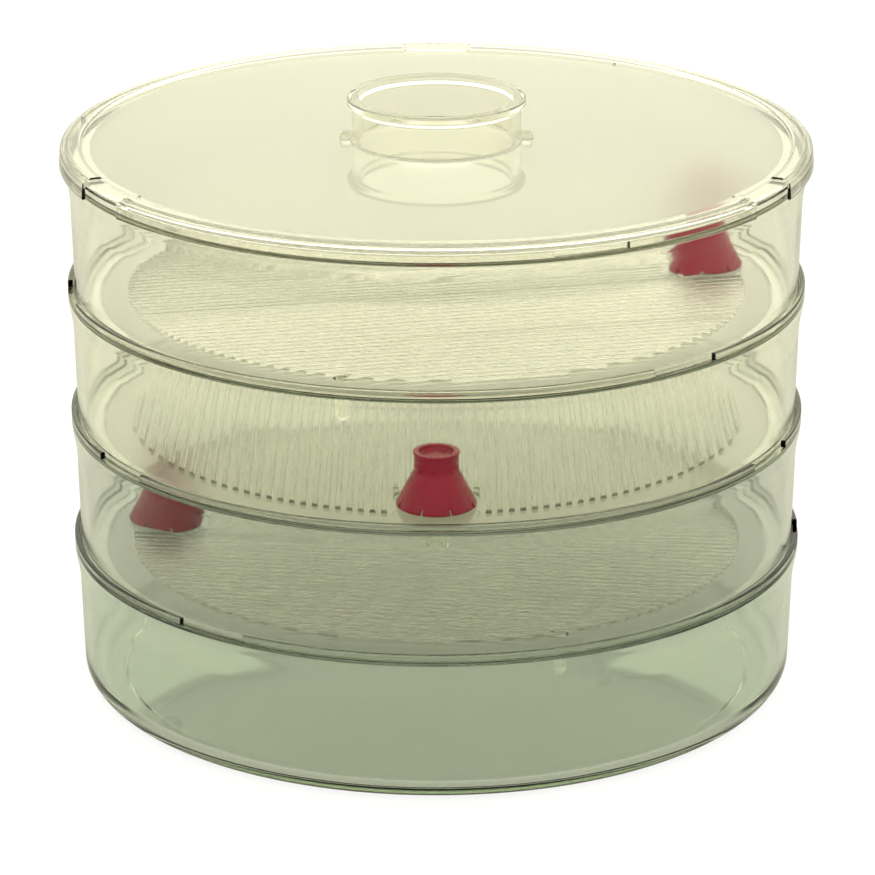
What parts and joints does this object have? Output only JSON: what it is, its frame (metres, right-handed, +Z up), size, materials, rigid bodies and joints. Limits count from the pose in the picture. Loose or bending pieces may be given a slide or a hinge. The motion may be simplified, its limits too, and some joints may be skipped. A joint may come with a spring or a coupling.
{
  "type": "stackable seed sprouter",
  "caption": "Round clear tinted stack for sprouting seeds: lid with ring handle, ribbed growing trays drained through red siphon caps, and a closed base that collects water.",
  "frame": {"origin": "centre of the base's foot, on the surface the stack stands on", "axes": "+Z up along the stack's axis, +X to the right and -Y towards the viewer in front of the middle tray's cap"},
  "size_m": [0.205, 0.2044, 0.1649],
  "materials": {
    "base_clear": "clear, pale grey-green tint, polished",
    "lower_clear": "clear, pale green tint, polished",
    "middle_clear": "clear, pale green tint, polished",
    "upper_clear": "clear, pale yellow-green tint, polished",
    "lid_clear": "clear, very pale yellow tint, polished",
    "cap_red": "opaque raspberry red, satin"
  },
  "bodies": {
    "base": {"base_tray": "base_clear"},
    "lower_tray": {"lower_tray": "lower_clear"},
    "lower_cap": {"lower_cap": "cap_red"},
    "middle_tray": {"middle_tray": "middle_clear"},
    "middle_cap": {"middle_cap": "cap_red"},
    "upper_tray": {"upper_tray": "upper_clear"},
    "upper_cap": {"upper_cap": "cap_red"},
    "lid": {"lid": "lid_clear"}
  },
  "joints": [
    {"name": "lower_tray_lift", "type": "slide", "parent": "base", "child": "lower_tray", "axis": [0, 0, 1], "range_m": [0, 0.06]},
    {"name": "middle_tray_lift", "type": "slide", "parent": "lower_tray", "child": "middle_tray", "axis": [0, 0, 1], "range_m": [0, 0.06]},
    {"name": "upper_tray_lift", "type": "slide", "parent": "middle_tray", "child": "upper_tray", "axis": [0, 0, 1], "range_m": [0, 0.06]},
    {"name": "lid_lift", "type": "slide", "parent": "upper_tray", "child": "lid", "axis": [0, 0, 1], "range_m": [0, 0.06]},
    {"name": "lower_cap_lift", "type": "slide", "parent": "lower_tray", "child": "lower_cap", "axis": [0, 0, 1], "range_m": [0, 0.013]},
    {"name": "middle_cap_lift", "type": "slide", "parent": "middle_tray", "child": "middle_cap", "axis": [0, 0, 1], "range_m": [0, 0.013]},
    {"name": "upper_cap_lift", "type": "slide", "parent": "upper_tray", "child": "upper_cap", "axis": [0, 0, 1], "range_m": [0, 0.013]}
  ]
}
